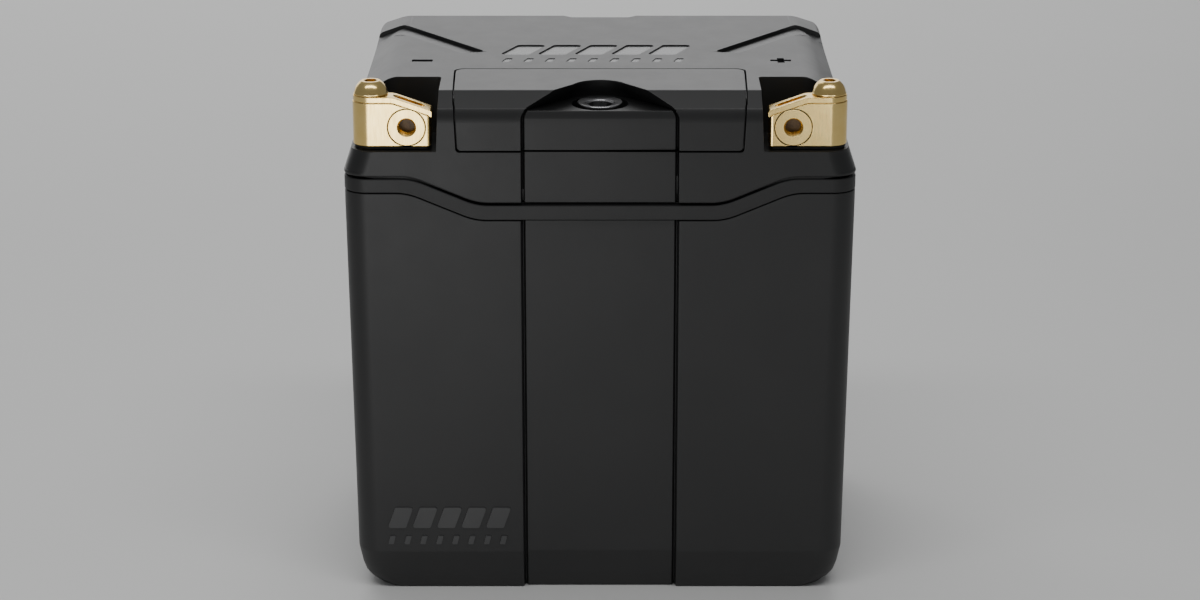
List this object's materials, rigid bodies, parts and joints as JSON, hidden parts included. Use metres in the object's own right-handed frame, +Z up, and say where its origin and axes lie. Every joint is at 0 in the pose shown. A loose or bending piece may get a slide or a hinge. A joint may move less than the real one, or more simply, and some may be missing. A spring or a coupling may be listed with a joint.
{
  "type": "motorcycle battery",
  "caption": "Sealed black powersport starter battery with two brass angle terminals at the front corners, a screw-held front panel and a cell pack inside.",
  "frame": {"origin": "centre of the base, on the surface the battery stands on", "axes": "+Z up, -Y towards the terminals and the front panel, +X towards the positive terminal"},
  "size_m": [0.166, 0.126, 0.175],
  "materials": {
    "case_plastic": "black, fine moulded texture",
    "band_plastic": "black, satin",
    "lid_plastic": "black, satin moulded texture",
    "panel_plastic": "black, satin moulded texture",
    "inner_plastic": "dark grey, plain moulded",
    "seal_rubber": "black rubber",
    "terminal_brass": "polished brass",
    "black_steel": "black oxide, satin",
    "zinc_steel": "zinc plated",
    "tinned_copper": "bare copper bar",
    "cell_wrap": "aluminium can in blue film",
    "foam": "grey closed-cell foam",
    "board_green": "green solder mask",
    "chip_black": "black moulded electronic part or insulated lead",
    "plug_white": "natural nylon",
    "strap_tape": "glass-fibre tape"
  },
  "bodies": {
    "battery": {"balance_harness": "chip_black", "balance_plug": "plug_white", "balance_socket": "plug_white", "bms_board": "board_green", "board_screw_1": "zinc_steel", "board_screw_2": "zinc_steel", "board_screw_3": "zinc_steel", "board_screw_4": "zinc_steel", "busbar_1_2": "tinned_copper", "busbar_2_3": "tinned_copper", "busbar_3_4": "tinned_copper", "cell_1": "cell_wrap", "cell_2": "cell_wrap", "cell_3": "cell_wrap", "cell_4": "cell_wrap", "cell_frame": "inner_plastic", "cell_pad_1": "foam", "cell_pad_2": "foam", "cell_pad_3": "foam", "cell_pad_4": "foam", "cell_pad_5": "foam", "cell_strap_lower": "strap_tape", "cell_strap_upper": "strap_tape", "cell_tray": "inner_plastic", "control_chip": "chip_black", "current_shunt": "tinned_copper", "foam_front": "foam", "foam_left": "foam", "foam_rear": "foam", "foam_right": "foam", "front_panel_insert": "terminal_brass", "lid": "lid_plastic", "lid_gasket": "seal_rubber", "lower_case": "case_plastic", "negative_cell_tab": "tinned_copper", "negative_lead": "tinned_copper", "negative_lead_screw": "zinc_steel", "negative_terminal_block": "terminal_brass", "negative_terminal_insert": "terminal_brass", "negative_terminal_post": "terminal_brass", "negative_terminal_seal": "seal_rubber", "positive_lead": "tinned_copper", "positive_lead_screw": "zinc_steel", "positive_terminal_block": "terminal_brass", "positive_terminal_insert": "terminal_brass", "positive_terminal_post": "terminal_brass", "positive_terminal_seal": "seal_rubber", "power_transistor_1": "chip_black", "power_transistor_2": "chip_black", "power_transistor_3": "chip_black", "power_transistor_4": "chip_black", "seam_band": "band_plastic", "temperature_sensor": "chip_black"},
    "panel": {"front_panel": "panel_plastic", "front_panel_screw_washer": "black_steel"},
    "panel_screw": {"front_panel_screw": "black_steel"},
    "negative_clamp": {"negative_clamp_plate": "terminal_brass"},
    "negative_bolt": {"negative_terminal_bolt": "terminal_brass"},
    "positive_clamp": {"positive_clamp_plate": "terminal_brass"},
    "positive_bolt": {"positive_terminal_bolt": "terminal_brass"}
  },
  "joints": [
    {"name": "front_panel_lift", "type": "slide", "parent": "battery", "child": "panel", "axis": [0, 0, 1], "range_m": [0, 0.00875]},
    {"name": "front_panel_screw_turn", "type": "hinge", "parent": "panel", "child": "panel_screw", "pos_m": [0, -0.0513, 0.1659], "axis": [0, 0, 1], "range_deg": [0, 2520]},
    {"name": "negative_clamp_lift", "type": "slide", "parent": "battery", "child": "negative_clamp", "axis": [0, 0, 1], "range_m": [0, 0.007]},
    {"name": "negative_bolt_turn", "type": "hinge", "parent": "negative_clamp", "child": "negative_bolt", "pos_m": [-0.07375, -0.055, 0.1709], "axis": [0, 0, 1], "range_deg": [0, 2520]},
    {"name": "positive_clamp_lift", "type": "slide", "parent": "battery", "child": "positive_clamp", "axis": [0, 0, 1], "range_m": [0, 0.007]},
    {"name": "positive_bolt_turn", "type": "hinge", "parent": "positive_clamp", "child": "positive_bolt", "pos_m": [0.07375, -0.055, 0.1709], "axis": [0, 0, 1], "range_deg": [0, 2520]}
  ],
  "couplings": [
    {"joint": "front_panel_screw_turn", "follows": "front_panel_lift", "rad_per_m": 5026.5},
    {"joint": "negative_bolt_turn", "follows": "negative_clamp_lift", "rad_per_m": 6283.1},
    {"joint": "positive_bolt_turn", "follows": "positive_clamp_lift", "rad_per_m": 6283.1}
  ]
}
